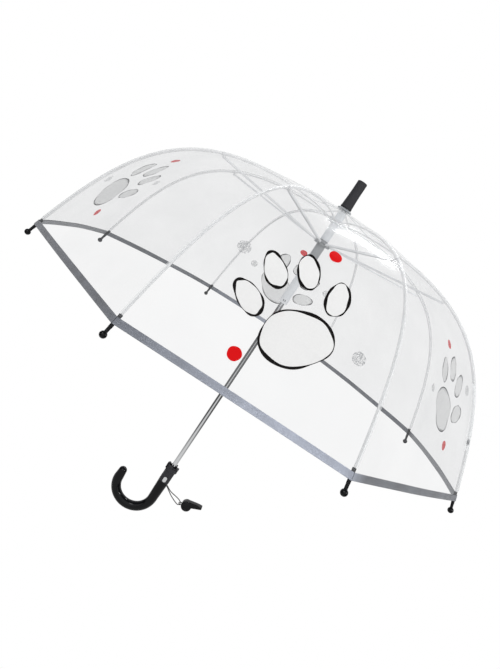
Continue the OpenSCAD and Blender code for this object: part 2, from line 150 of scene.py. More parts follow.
def merge(name: str, pieces: Sequence[bpy.types.Object]) -> bpy.types.Object:
    """Join several meshes into one object with their materials kept.

    Args:
        name: the joined piece's name.
        pieces: meshes at the origin.

    Returns:
        The joined object.
    """
    first = pieces[0]
    with bpy.context.temp_override(
        active_object=first, object=first, selected_objects=list(pieces),
        selected_editable_objects=list(pieces),
    ):
        bpy.ops.object.join()
    first.name = name
    first.data.name = name
    return first


def tube(
    name: str, path: Array, radius: float, sides: int, side_on: Sequence[float]
) -> bpy.types.Object:
    """Carry a circle along a path, each ring across the path's direction, with both ends closed.

    The ring's axes are a = direction x side_on and b = direction x a.

    Args:
        name: the piece's name.
        path: array (n, 3).
        radius: the tube's radius.
        sides: points in a ring.
        side_on: a direction that the path never runs along.

    Returns:
        The tube.
    """
    way = np.gradient(path, axis=0)
    way /= np.linalg.norm(way, axis=1, keepdims=True)
    a = np.cross(way, side_on)
    a /= np.linalg.norm(a, axis=1, keepdims=True)
    b = np.cross(way, a)
    turn = np.linspace(0, 2 * np.pi, sides, endpoint=False)
    ring = np.cos(turn)[None, :, None] * a[:, None] + np.sin(turn)[None, :, None] * b[:, None]
    start, end = path[:1, None] + PINPOINT * ring[:1], path[-1:, None] + PINPOINT * ring[-1:]
    points = np.concatenate([start, path[:, None] + radius * ring, end])
    length = np.concatenate([[0], np.cumsum(np.linalg.norm(np.diff(points[:, 0], axis=0), axis=1))])
    around = turn * radius
    uv = np.stack(np.broadcast_arrays(around[None, :], length[:, None]), -1)
    return add_grid(name, points, uv, wrap_cols=True)


# --------------------------------------------------------------------------------------
# Finishes
# --------------------------------------------------------------------------------------


def scaled(shade: Colour, share: float) -> Colour:
    """Return a colour made darker or lighter, no lighter than white."""
    return tuple(min(1.0, share * part) for part in shade)


class Recipe:
    """A material being built: its nodes are added by short calls and linked as they come."""

    def __init__(self, name: str) -> None:
        """Start a material that holds one Principled shader.

        Args:
            name: the material's name.
        """
        self.material = bpy.data.materials.new(name)
        self.material.use_nodes = True
        self.tree = self.material.node_tree
        self.shader = self.tree.nodes["Principled BSDF"]
        self.coords = self.tree.nodes.new("ShaderNodeTexCoord")

    def set(self, **values: object) -> None:
        """Set sockets of the shader; underscores stand for spaces."""
        for key, value in values.items():
            self.shader.inputs[key.replace("_", " ")].default_value = value

    def node(self, kind: str, **values: object) -> bpy.types.Node:
        """Add a node and set its plain properties.

        Args:
            kind: the node's type.
            **values: its properties, by name.

        Returns:
            The node.
        """
        made = self.tree.nodes.new(kind)
        for key, value in values.items():
            setattr(made, key, value)
        return made

    def link(self, source: bpy.types.NodeSocket, target: bpy.types.NodeSocket) -> None:
        """Link two sockets."""
        self.tree.links.new(source, target)

    def noise(self, scale: float, detail: float = 3.0, on_surface: bool = False,
              stretch: tuple[float, float, float] = (1.0, 1.0, 1.0)) -> bpy.types.NodeSocket:
        """Add a noise pattern on the object, or on its own surface map.

        Args:
            scale: cells in a metre.
            detail: octaves.
            on_surface: use the piece's own map in place of Object coordinates.
            stretch: scale along each axis.

        Returns:
            The noise's value.
        """
        place = self.node("ShaderNodeMapping")
        place.inputs["Scale"].default_value = stretch
        self.link(self.coords.outputs["UV" if on_surface else "Object"], place.inputs["Vector"])
        noise = self.node("ShaderNodeTexNoise")
        noise.inputs["Scale"].default_value = scale
        noise.inputs["Detail"].default_value = detail
        self.link(place.outputs[0], noise.inputs["Vector"])
        return noise.outputs["Fac"]

    def waves(self, scale: float, direction: str = "X", on_surface: bool = True,
              turn: float = 0.0, distortion: float = 0.0) -> bpy.types.NodeSocket:
        """Add a band pattern, for weaves and stitches.

        Args:
            scale: bands in about a metre and a half.
            direction: axis across the bands.
            on_surface: use the piece's own map in place of Object coordinates.
            turn: angle of the bands, in radians.
            distortion: how uneven they are.

        Returns:
            The wave's value.
        """
        place = self.node("ShaderNodeMapping")
        place.inputs["Rotation"].default_value = (0.0, 0.0, turn)
        self.link(self.coords.outputs["UV" if on_surface else "Object"], place.inputs["Vector"])
        wave = self.node("ShaderNodeTexWave", bands_direction=direction)
        wave.inputs["Scale"].default_value = scale
        wave.inputs["Distortion"].default_value = distortion
        self.link(place.outputs[0], wave.inputs["Vector"])
        return wave.outputs["Fac"]

    def span(self, value: bpy.types.NodeSocket, low: float, high: float,
             start: float = 0.0, end: float = 1.0) -> bpy.types.NodeSocket:
        """Map a value from start..end to low..high, clamped.

        Args:
            value: the value to map.
            low: what start becomes.
            high: what end becomes.
            start: one end of the value's range.
            end: its other end.

        Returns:
            The mapped value.
        """
        made = self.node("ShaderNodeMapRange")
        for key, number in (("From Min", start), ("From Max", end), ("To Min", low), ("To Max", high)):
            made.inputs[key].default_value = number
        self.link(value, made.inputs["Value"])
        return made.outputs["Result"]

    def maths(self, operation: str, one: bpy.types.NodeSocket,
              two: bpy.types.NodeSocket | float) -> bpy.types.NodeSocket:
        """Combine two values with a Math node.

        Args:
            operation: the node's operation.
            one: the first value.
            two: the second value, or a plain number.

        Returns:
            The result.
        """
        made = self.node("ShaderNodeMath", operation=operation)
        self.link(one, made.inputs[0])
        if isinstance(two, (int, float)):
            made.inputs[1].default_value = two
        else:
            self.link(two, made.inputs[1])
        return made.outputs[0]

    def between(self, value: bpy.types.NodeSocket, one: Colour, two: Colour) -> bpy.types.NodeSocket:
        """Blend two colours by a value.

        Args:
            value: 0 for the first colour and 1 for the second.
            one: the first colour.
            two: the second colour.

        Returns:
            The blended colour.
        """
        made = self.node("ShaderNodeValToRGB")
        made.color_ramp.elements[0].color = (*one, 1.0)
        made.color_ramp.elements[1].color = (*two, 1.0)
        self.link(value, made.inputs["Fac"])
        return made.outputs["Color"]

    def colour(self, source: bpy.types.NodeSocket) -> None:
        """Link the shader's colour."""
        self.link(source, self.shader.inputs["Base Color"])

    def roughness(self, source: bpy.types.NodeSocket) -> None:
        """Link the shader's roughness."""
        self.link(source, self.shader.inputs["Roughness"])

    def bump(self, height: bpy.types.NodeSocket, depth: float, strength: float = 1.0) -> None:
        """Raise the surface by a height pattern.

        Args:
            height: the pattern.
            depth: how deep it is, in metres.
            strength: share of the effect.
        """
        made = self.node("ShaderNodeBump")
        made.inputs["Strength"].default_value = strength
        made.inputs["Distance"].default_value = depth
        self.link(height, made.inputs["Height"])
        self.link(made.outputs["Normal"], self.shader.inputs["Normal"])


@dataclass(frozen=True)
class ClearFilm:
    """Clear flexible film: nearly invisible face on, denser towards its edges, faintly rippled."""

    name: str = "clear_film"
    tint: Colour = (0.42, 0.435, 0.45)
    face_on: float = 0.145
    edge_on: float = 0.30

    def make(self) -> bpy.types.Material:
        """Build the film's material.

        Returns:
            The material.
        """
        made = Recipe(self.name)
        made.set(IOR=1.9)
        cloud = made.noise(9.0, 3.0)
        made.colour(made.between(cloud, scaled(self.tint, 0.92), scaled(self.tint, 1.08)))
        facing = made.node("ShaderNodeLayerWeight")
        facing.inputs["Blend"].default_value = 0.35
        lean = made.maths("POWER", facing.outputs["Facing"], 2.2)
        body = made.span(lean, self.face_on, self.edge_on)
        mottle = made.span(made.noise(14.0, 4.0), 0.82, 1.2, 0.3, 0.7)
        made.link(made.maths("MULTIPLY", body, mottle), made.shader.inputs["Alpha"])
        made.roughness(made.span(made.noise(30.0, 2.0), 0.1, 0.26))
        made.bump(made.noise(26.0, 2.5, stretch=(1.0, 1.0, 0.45)), 0.0016, 0.55)
        return made.material


@dataclass(frozen=True)
class WeldedSeam:
    """Two films welded over each other: whiter than the film, with a fine pressed rib."""

    name: str = "welded_seam"

    def make(self) -> bpy.types.Material:
        """Build the seam's material.

        Returns:
            The material.
        """
        made = Recipe(self.name)
        made.set(Specular_IOR_Level=0.7)
        made.colour(made.between(made.noise(300.0), (0.70, 0.72, 0.73), (0.90, 0.91, 0.91)))
        made.link(made.span(made.noise(120.0), 0.34, 0.6), made.shader.inputs["Alpha"])
        made.roughness(made.span(made.noise(400.0), 0.18, 0.36))
        made.bump(made.waves(420.0, "Y"), 0.0001, 0.5)
        return made.material


@dataclass(frozen=True)
class WovenBinding:
    """Grey woven tape with a silvery shine from the shader: two crossed sets of fine threads, a random worn
    tone, and painted light: a lighter bluish highlight band across the front with painted shade towards
    both ends, set by Object X.
    """

    name: str = "woven_binding"
    # dark is also the painted shade at both ends of the tape; light is reached mostly through the painted
    # highlight band
    dark: Colour = (0.08, 0.083, 0.09)
    light: Colour = (0.52, 0.56, 0.66)

    def make(self) -> bpy.types.Material:
        """Build the binding's material.

        Returns:
            The material.
        """
        made = Recipe(self.name)
        made.set(Sheen_Weight=0.4, Metallic=0.25)
        over = made.waves(900.0, "X", distortion=0.4)
        under = made.waves(900.0, "Y", distortion=0.4)
        weave = made.maths("MULTIPLY", over, under)
        split = made.node("ShaderNodeSeparateXYZ")
        made.link(made.coords.outputs["Object"], split.inputs[0])
        # painted highlight: the tape is painted lighter from Object X -0.17 to 0.05 and beyond, as a
        # reflective tape catching the light
        painted_highlight_band = made.span(split.outputs["X"], 0.0, 0.7, -0.17, 0.05)
        # painted shade: darker again from Object X 0.13 to 0.16 onwards, where the highlight band ends
        painted_shade_right = made.span(split.outputs["X"], 0.0, 0.68, 0.13, 0.16)
        wear = made.span(made.noise(40.0), -0.05, 0.25)
        # tape colour: the painted highlight less the painted shade, plus random wear
        painted_light_and_wear = made.maths("ADD", made.maths("SUBTRACT", painted_highlight_band, painted_shade_right), wear)
        tone = made.maths("ADD", made.span(weave, 0.0, 0.2), painted_light_and_wear)
        made.colour(made.between(tone, self.dark, self.light))
        made.roughness(made.span(made.noise(150.0), 0.32, 0.55))
        made.bump(weave, 0.00015, 0.8)
        return made.material


@dataclass(frozen=True)
class Moulded:
    """Moulded plastic with a faint orange-peel surface and slight differences in shine."""

    name: str
    shade: Colour
    shine: tuple[float, float]
    peel: float = 0.00004
    alpha: float = 1.0
    gloss: float = 0.5

    def make(self) -> bpy.types.Material:
        """Build the plastic's material.

        Returns:
            The material.
        """
        made = Recipe(self.name)
        made.set(Specular_IOR_Level=self.gloss, Alpha=self.alpha)
        cloud = made.noise(55.0, 4.0)
        made.colour(made.between(cloud, scaled(self.shade, 0.8), scaled(self.shade, 1.2)))
        made.roughness(made.span(made.noise(120.0, 4.0), *self.shine, 0.3, 0.7))
        made.bump(made.noise(700.0, 2.0), self.peel, 0.6)
        return made.material


@dataclass(frozen=True)
class Metal:
    """Bright metal drawn along the shaft: fine lengthways streaks in its roughness."""

    name: str
    shade: Colour
    shine: tuple[float, float]
    streak: float = 900.0

    def make(self) -> bpy.types.Material:
        """Build the metal's material.

        Returns:
            The material.
        """
        made = Recipe(self.name)
        made.set(Metallic=1.0)
        streaks = made.noise(self.streak, 3.0, stretch=(1.0, 1.0, 0.03))
        made.colour(made.between(streaks, scaled(self.shade, 0.86), self.shade))
        made.roughness(made.span(streaks, *self.shine, 0.3, 0.7))
        made.bump(streaks, 0.00002, 0.4)
        return made.material


@dataclass(frozen=True)
class Ink:
    """Printed ink: even but for tiny pinholes, or a grey speckle where it is sprayed."""

    name: str
    shade: Colour
    cover: float = 1.0
    speckle: bool = False

    def make(self) -> bpy.types.Material:
        """Build the ink's material.

        Returns:
            The material.
        """
        made = Recipe(self.name)
        made.set(Specular_IOR_Level=0.12, Alpha=self.cover)
        made.colour(made.between(made.noise(500.0), scaled(self.shade, 0.88), self.shade))
        made.roughness(made.span(made.noise(260.0), 0.3, 0.5))
        if self.speckle:
            made.link(made.span(made.noise(900.0, 1.0), 0.0, 0.75, 0.44, 0.56), made.shader.inputs["Alpha"])
        made.bump(made.noise(800.0), 0.00003, 0.5)
        if not self.speckle:
            glow = made.node("ShaderNodeBsdfTranslucent")
            glow.inputs["Color"].default_value = (*self.shade, 1.0)
            mix = made.node("ShaderNodeMixShader")
            mix.inputs["Fac"].default_value = 0.32
            made.link(made.shader.outputs[0], mix.inputs[1])
            made.link(glow.outputs[0], mix.inputs[2])
            made.link(mix.outputs[0], made.tree.nodes["Material Output"].inputs["Surface"])
        return made.material


@dataclass(frozen=True)
class Braid:
    """Black braided cord: crossed diagonal strands along its own length."""

    name: str = "braided_cord"

    def make(self) -> bpy.types.Material:
        """Build the cord's material.

        Returns:
            The material.
        """
        made = Recipe(self.name)
        made.set(Sheen_Weight=0.25)
        one = made.waves(700.0, "DIAGONAL", on_surface=False)
        two = made.waves(700.0, "DIAGONAL", on_surface=False, turn=math.pi / 2)
        plait = made.maths("MAXIMUM", one, two)
        made.colour(made.between(plait, (0.006, 0.006, 0.007), (0.04, 0.04, 0.043)))
        made.roughness(made.span(plait, 0.75, 0.5))
        made.bump(plait, 0.0002, 0.8)
        return made.material


class Finish(Enum):
    """Every finish on the umbrella, by the name of what it is."""

    FILM = ClearFilm()
    SEAM = WeldedSeam()
    BINDING = WovenBinding()
    GLOSS_BLACK = Moulded("gloss_black", (0.004, 0.0042, 0.005), (0.06, 0.16), gloss=0.2)
    SATIN_BLACK = Moulded("satin_black", (0.006, 0.006, 0.007), (0.28, 0.42), 0.00007, gloss=0.15)
    GREY_NYLON = Moulded("grey_nylon", (0.34, 0.35, 0.36), (0.35, 0.5))
    PALE_NYLON = Moulded("pale_nylon", (0.74, 0.76, 0.78), (0.35, 0.5))
    FIBRE = Moulded("white_fibre_rod", (0.84, 0.85, 0.86), (0.25, 0.4))
    CRINKLE = Moulded("crinkled_washer", (0.42, 0.44, 0.46), (0.2, 0.45), 0.0003, 0.72)
    CORK = Moulded("cork", (0.5, 0.33, 0.18), (0.7, 0.9), 0.0003)
    CHROME = Metal("chrome", (0.86, 0.87, 0.88), (0.05, 0.12))
    STEEL = Metal("drawn_steel", (0.62, 0.63, 0.64), (0.22, 0.4))
    CHANNEL = Moulded("painted_channel", (0.80, 0.81, 0.82), (0.3, 0.45))
    WHITE_INK = Ink("white_ink", (0.97, 0.97, 0.96), 0.95)
    BLACK_INK = Ink("black_ink", (0.006, 0.005, 0.005))
    RED_INK = Ink("red_ink", (0.80, 0.004, 0.006))
    GREY_INK = Ink("grey_ink", (0.32, 0.33, 0.34), speckle=True)
    BRAID = Braid()

    def material(self) -> bpy.types.Material:
        """Return the finish's material, made on first use."""
        return bpy.data.materials.get(self.value.name) or self.value.make()

    def dress(self, piece: bpy.types.Object) -> bpy.types.Object:
        """Give a piece this finish in place of any it has.

        Args:
            piece: a mesh.

        Returns:
            The same piece.
        """
        piece.data.materials.clear()
        piece.data.materials.append(self.material())
        return piece


def dress_node(node: str, finish: Finish) -> None:
    """Give a carried-over CAD node a finish in place of its plain one.

    Args:
        node: the node's name.
        finish: what it is made of.
    """
    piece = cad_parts[node]
    if not piece.material_slots:
        piece.data.materials.append(finish.material())
    for place in piece.material_slots:
        place.material = finish.material()


# --------------------------------------------------------------------------------------
# The rib's curve and the canopy stretched over it
# --------------------------------------------------------------------------------------


@dataclass
class RibCurve:
    """A rib's centreline: its angle below level grows along an S-shaped law of length.

    angle(s) = drop / (1 + exp((bend_at - s) / spread)) - arch * exp(-s / arch_length), and the
    place is the running sum of the direction (cos angle, -sin angle) from the notch pivot.
    """

    length: float = 482 * MM
    drop: float = math.radians(72)
    bend_at: float = 250 * MM
    spread: float = 62.5 * MM
    arch: float = math.radians(16)
    arch_length: float = 36.8 * MM
    pivot_r: float = 11 * MM
    notch_z: float = 482 * MM
    flex_at: float = 199.5 * MM
    beyond: float = 4 * MM
    table: Array = field(init=False)

    def __post_init__(self) -> None:
        """Sum the direction on a fine table of lengths."""
        s = np.linspace(0, self.length + self.beyond, 2401)
        a = self.angle((s[1:] + s[:-1]) / 2)
        step = s[1]
        r = self.pivot_r + np.concatenate([[0], np.cumsum(np.cos(a))]) * step
        z = self.notch_z - np.concatenate([[0], np.cumsum(np.sin(a))]) * step
        self.table = np.stack([s, r, z])

    def angle(self, s: Array | float) -> Array:
        """Angle below level at length s."""
        bend = self.drop / (1 + np.exp((self.bend_at - s) / self.spread))
        return bend - self.arch * np.exp(-s / self.arch_length)

    def place(self, s: Array | float, out: Array | float = 0.0) -> tuple[Array, Array]:
        """Find the radius and height at length s, moved out along the curve's normal.

        Args:
            s: lengths from the notch pivot.
            out: distance outwards.

        Returns:
            Radii and heights.
        """
        a = self.angle(s)
        r = np.interp(s, self.table[0], self.table[1]) + out * np.sin(a)
        z = np.interp(s, self.table[0], self.table[2]) + out * np.cos(a)
        return r, z

    @staticmethod
    def azimuth(rib: int) -> float:
        """Direction of rib 1 to 8 seen from above."""
        return FIRST_RIB + (rib - 1) * GORE

    def point(self, rib: int, s: Array | float, out: float = 0.0) -> Array:
        """Find points on one rib's centreline.

        Args:
            rib: 1 to 8.
            s: lengths from the notch pivot.
            out: distance outwards.

        Returns:
            Array of points with one more axis than s.
        """
        r, z = self.place(s, out)
        a = self.azimuth(rib)
        return np.stack(np.broadcast_arrays(r * math.cos(a), r * math.sin(a), z), -1)


@dataclass
class Gore:
    """The film over one gore: straight chords between two ribs, bowed a little at the rim.

    Near the middle the film leaves the ribs and rises to the ferrule: height over the crown's
    edge grows with (1 - share of radius) to the power 1.5.
    """

    rib: RibCurve
    lift: float = 2.7 * MM
    hole_r: float = 5.2 * MM
    crown_end: float = 90 * MM
    peak_rise: float = 20.5 * MM
    rim_bulge: float = 6 * MM
    hem: float = 8.5 * MM
    ripple: float = 0.55 * MM

    def edge(self, s: Array) -> tuple[Array, Array, Array]:
        """Find where the film lies along a rib.

        Args:
            s: lengths from the notch pivot.

        Returns:
            Radii, heights and angles below level.
        """
        r, z = self.rib.place(s, self.lift)
        a = self.rib.angle(s)
        r1, z1 = self.rib.place(self.crown_end, self.lift)
        share = np.clip(s / self.crown_end, 0, 1)
        crown_r = self.hole_r + (r1 - self.hole_r) * share
        crown_z = z1 + (self.rib.notch_z + self.peak_rise - z1) * (1 - share) ** 1.5
        crown_a = math.radians(8) * (1 - share) + self.rib.angle(self.crown_end)
        inside = s < self.crown_end
        return np.where(inside, crown_r, r), np.where(inside, crown_z, z), np.where(inside, crown_a, a)

    def half_width(self, s: Array) -> Array:
        """Half the chord across the gore at length s."""
        return self.edge(s)[0] * math.sin(GORE / 2)

    def point(self, panel: int, s: Array, v: Array, out: Array | float = 0.0) -> Array:
        """Find points on a panel's film at length s and share v across it.

        The film bows out between its ribs by 4 v (1 - v), most at the rim, with slight waves
        that die out at both ribs.

        Args:
            panel: 1 to 8, lying between the rib of that number and the next.
            s: lengths from the notch, any shape.
            v: shares across, the same shape.
            out: distance outwards from the film.

        Returns:
            Array of points with one more axis.
        """
        s, v = np.broadcast_arrays(np.asarray(s, float), np.asarray(v, float))
        r, z, a = self.edge(s)
        mid = self.rib.azimuth(panel) + GORE / 2
        belly = 4 * v * (1 - v)
        bow = self.rim_bulge * (s / self.rib.length) ** 2 * belly
        long_wave = np.sin(s * 61 + panel * 1.7) * np.sin(v * 9.4 + panel)
        short_wave = 0.6 * np.sin(s * 148 + v * 13 + panel * 2.9)
        push = bow + self.ripple * (long_wave + short_wave) * belly + out
        across = (2 * v - 1) * r * math.sin(GORE / 2)
        reach = r * math.cos(GORE / 2) + push * np.sin(a)
        return np.stack([
            reach * math.cos(mid) - across * math.sin(mid),
            reach * math.sin(mid) + across * math.cos(mid),
            z + push * np.cos(a),
        ], -1)


class Stretch(Enum):
    """The stretches of a gore along its ribs, each with the CAD body that carries it."""

    CAP = (0.0, 26 * MM, "inner_rib")
    CROWN = (26 * MM, 199.5 * MM, "inner_rib")
    SHOULDER = (199.5 * MM, 300 * MM, "outer_rib")
    SKIRT = (300 * MM, 482 * MM, "outer_rib")


@dataclass
class Canopy:
    """The film canopy: eight gores, each cut at its middle and at the bend so that it folds.

    A half gore rides on the rib it is sewn to.
    """

    gore: Gore
    gathered: float = 0.08
    slack: float = 1.02
    step_s: float = 6 * MM
    half_cols: int = 14
    hem_cols: int = 20
    hem_half_t: float = 0.55 * MM
    seam_half_w: float = 2.3 * MM
    seam_h: float = 0.5 * MM
    strap_from: float = 322 * MM
    strap_to: float = 412 * MM
    strap_lift: float = 0.7 * MM
    strap_arch: float = 0.8 * MM
    strap_flat: tuple[float, float] = (22 * MM, 91 * MM)

    def fold_flat(self, piece: bpy.types.Object, panel: int, right: bool, stretch: Stretch) -> str:
        """Let a half gore's piece ride on its rib.

        Args:
            piece: the piece, with its final mesh.
            panel: the gore's number.
            right: True for the half sewn to the next rib.
            stretch: which stretch of the rib it follows.

        Returns:
            The name of the body it rides on.
        """
        low, high, body = stretch.value
        rib = panel % RIBS + 1 if right else panel
        mid = RibCurve.azimuth(panel) + GORE / 2
        start, end = self.gore.rib.point(rib, low), self.gore.rib.point(rib, high)
        carrier = f"{body}_{rib}"
        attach(piece, carrier)
        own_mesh(piece)
        return carrier

    def hang_from_hub(self, piece: bpy.types.Object, rib: int) -> None:
        """Bake a piece near the ferrule's transform into its mesh.

        Args:
            piece: the piece, with its final mesh.
            rib: 1 to 8.
        """
        end = self.gore.rib.point(rib, Stretch.CAP.value[1])
        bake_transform(piece)

    @staticmethod
    def half_shares(right: bool, columns: int) -> Array:
        """Return even shares across the half gore sewn to the next rib, or to its own rib."""
        return np.linspace(0.5, 1.0, columns + 1) if right else np.linspace(0.0, 0.5, columns + 1)

    def half_film(self, panel: int, right: bool, stretch: Stretch) -> bpy.types.Object:
        """Make one piece of film: a grid of lengths and of shares across half the gore.

        Args:
            panel: the gore's number.
            right: True for the half sewn to the next rib.
            stretch: which stretch of the rib it lies along.

        Returns:
            The piece.
        """
        low, high = stretch.value[:2]
        rows = np.linspace(low, high, max(8, round((high - low) / self.step_s)) + 1)
        s, v = np.meshgrid(rows, self.half_shares(right, self.half_cols), indexing="ij")
        points = self.gore.point(panel, s, v)
        uv = np.stack([(v - 0.5) * 2 * self.gore.half_width(s), s], -1)
        side = "right" if right else "left"
        piece = add_grid(f"film_{panel}_{side}_{stretch.name.lower()}", points, uv)
        Finish.FILM.dress(piece)
        width = float(self.gore.half_width(rows).max())
        return piece

    def hem(self, panel: int, right: bool) -> bpy.types.Object:
        """Make the woven tape folded over half a gore's rim: a flat U carried along the rim.

        Args:
            panel: the gore's number.
            right: True for the half sewn to the next rib.

        Returns:
            The tape.
        """
        half_t, width, length = self.hem_half_t, self.gore.hem, self.gore.rib.length
        turn = np.linspace(np.pi / 2, -np.pi / 2, 7)
        flat = np.linspace(width, 0.6 * MM, 6)
        back = np.concatenate([flat, 0.5 * MM - half_t * np.cos(turn), flat[::-1]])
        rise = np.concatenate([np.full(6, half_t), half_t * np.sin(turn), np.full(6, -half_t)])
        s, v = np.meshgrid(length - back, self.half_shares(right, self.hem_cols), indexing="ij")
        out = np.broadcast_to(rise[:, None], s.shape)
        points = self.gore.point(panel, s, v, out)
        along = (v - 0.5) * 2 * self.gore.half_width(s)
        girth = np.cumsum(np.hypot(np.gradient(back), np.gradient(rise)))[:, None]
        uv = np.stack(np.broadcast_arrays(along, girth), -1)
        piece = add_grid(f"hem_tape_{panel}_{'right' if right else 'left'}", points, uv)
        return Finish.BINDING.dress(piece)

    def seam(self, rib: int, low: float, high: float) -> bpy.types.Object:
        """Make the weld along a rib: a low ridge carried down the film's edge.

        Args:
            rib: 1 to 8.
            low: length at which it starts.
            high: length at which it ends.

        Returns:
            The ridge.
        """
        rows = np.linspace(low, high, max(8, round((high - low) / (3.6 * MM))))
        across = np.linspace(-1, 1, 9) * self.seam_half_w
        ridge = self.seam_h * np.cos(np.linspace(-1, 1, 9) * np.pi / 2).clip(0) ** 0.6
        r, z, a = self.gore.edge(rows)
        az = RibCurve.azimuth(rib)
        out = 0.15 * MM + ridge[None, :] - np.abs(across)[None, :] * math.tan(GORE / 2) * np.sin(a)[:, None]
        reach = r[:, None] + out * np.sin(a)[:, None]
        points = np.stack([
            reach * math.cos(az) - across * math.sin(az),
            reach * math.sin(az) + across * math.cos(az),
            z[:, None] + out * np.cos(a)[:, None],
        ], -1)
        uv = np.stack(np.broadcast_arrays(across[None, :], rows[:, None]), -1)
        piece = add_grid(f"seam_{rib}_from_{round(low / MM)}", points, uv)
        Finish.SEAM.dress(piece)
        return piece

    def strap(self) -> bpy.types.Object:
        """Make the closing strap: a strip of film lying beside rib 3, a little raised in its middle.

        Returns:
            The strap.
        """
        rows = np.linspace(self.strap_from, self.strap_to, 24)
        shares = np.linspace(0.915, 0.99, 7)
        s, v = np.meshgrid(rows, shares, indexing="ij")
        share = (s - self.strap_from) / (self.strap_to - self.strap_from)
        lift = self.strap_lift + self.strap_arch * np.sin(share * np.pi)
        points = self.gore.point(2, s, v, lift)
        uv = np.stack([(v - 0.5) * 2 * self.gore.half_width(s), s], -1)
        piece = add_grid("strap_film", points, uv)
        Finish.SEAM.dress(piece)
        return piece

    def build(self) -> None:
        """Make the film, hems, seams and strap, set what the film, hems and strap ride on, and hide the CAD
        nodes they stand for.
        """
        for panel in range(1, RIBS + 1):
            for right in (False, True):
                for stretch in Stretch:
                    piece = self.half_film(panel, right, stretch)
                    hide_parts(f"panel_{panel}")
                    if stretch is Stretch.CAP:
                        self.hang_from_hub(piece, panel % RIBS + 1 if right else panel)
                    else:
                        self.fold_flat(piece, panel, right, stretch)
                tape = self.hem(panel, right)
                self.fold_flat(tape, panel, right, Stretch.SKIRT)
        for rib in range(1, RIBS + 1):
            curve = self.gore.rib
            cap_end = Stretch.CAP.value[1]
            self.hang_from_hub(self.seam(rib, 2 * MM, cap_end), rib)
            weld = self.seam(rib, cap_end, curve.length - 14 * MM)
            tuple(curve.point(rib, curve.flex_at - 2 * MM))
            tuple(curve.point(rib, curve.flex_at + 24 * MM))
            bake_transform(weld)
        strip = self.strap()
        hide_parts("closing_strap")
        self.fold_flat(strip, 2, True, Stretch.SKIRT)
        LOG.info("canopy: %d half gores of film with hems and seams", 2 * RIBS)


@dataclass
class Ribs:
    """The outer rods, drawn as one smooth rod from inside the clip to the tip."""

    curve: RibCurve
    radius: float = 1.4 * MM

    def build(self) -> None:
        """Make each outer rod in place of the CAD lower rib, and dress the upper ribs, stretchers and tips.
        """
        for rib in range(1, RIBS + 1):
            rows = np.linspace(self.curve.flex_at - 1.5 * MM, self.curve.length + 2 * MM, 90)
            path = self.curve.point(rib, rows)
            rod = tube(f"rib_rod_{rib}", path, self.radius, 14, (0.05, 1.0, 0.08))
            Finish.FIBRE.dress(rod)
            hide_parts(f"rib_lower_{rib}")
            tuple(self.curve.point(rib, self.curve.flex_at - 2 * MM))
            tuple(self.curve.point(rib, self.curve.flex_at + 24 * MM))
            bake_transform(rod)
            dress_node(f"rib_upper_{rib}", Finish.FIBRE)
            dress_node(f"stretcher_{rib}", Finish.CHANNEL)
            dress_node(f"tip_{rib}", Finish.GLOSS_BLACK)
        LOG.info("ribs: %d rods, stretchers and tips", RIBS)


# --------------------------------------------------------------------------------------
# The printed paw marks
# --------------------------------------------------------------------------------------


